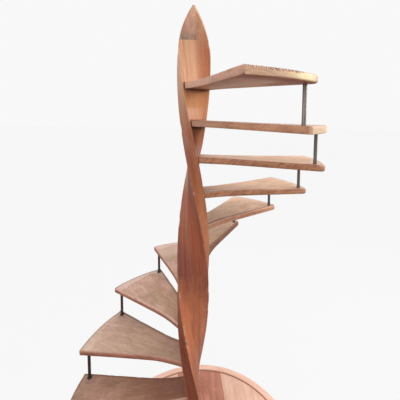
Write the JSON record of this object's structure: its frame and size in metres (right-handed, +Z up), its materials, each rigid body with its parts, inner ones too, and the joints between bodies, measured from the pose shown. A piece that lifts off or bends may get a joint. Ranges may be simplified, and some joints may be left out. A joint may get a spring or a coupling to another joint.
{
  "type": "spiral staircase",
  "caption": "Open spiral staircase: winder treads let into a twisted wooden board post, tied at their outer ends by upright steel rods, on a round wooden base.",
  "frame": {"origin": "centre of the base underside, on the post axis", "axes": "+Z up along the post axis; +X along the tenth tread from the bottom; right-handed, the stair turns clockwise going up seen from above"},
  "size_m": [1.3078, 1.308, 2.555],
  "materials": {
    "rim_wood": "oiled, satin",
    "pale_boards": "oiled, satin",
    "dark_board": "oiled, satin",
    "post_wood": "oiled, satin",
    "tread_wood": "worn, matt",
    "rod_steel": "dark, satin"
  },
  "bodies": {
    "root": {"base_rim": "rim_wood", "base_board_left": "pale_boards", "base_board_centre": "dark_board", "base_board_right": "pale_boards", "twisted_post": "post_wood", "tread_01": "tread_wood", "tread_02": "tread_wood", "tread_03": "tread_wood", "tread_04": "tread_wood", "tread_05": "tread_wood", "tread_06": "tread_wood", "tread_07": "tread_wood", "tread_08": "tread_wood", "tread_09": "tread_wood", "tread_10": "tread_wood", "tread_11": "tread_wood", "tread_12": "tread_wood", "rod_01": "rod_steel", "rod_02": "rod_steel", "rod_03": "rod_steel", "rod_04": "rod_steel", "rod_05": "rod_steel", "rod_06": "rod_steel", "rod_07": "rod_steel", "rod_08": "rod_steel", "rod_09": "rod_steel", "rod_10": "rod_steel", "rod_11": "rod_steel", "rod_12": "rod_steel"}
  },
  "joints": []
}
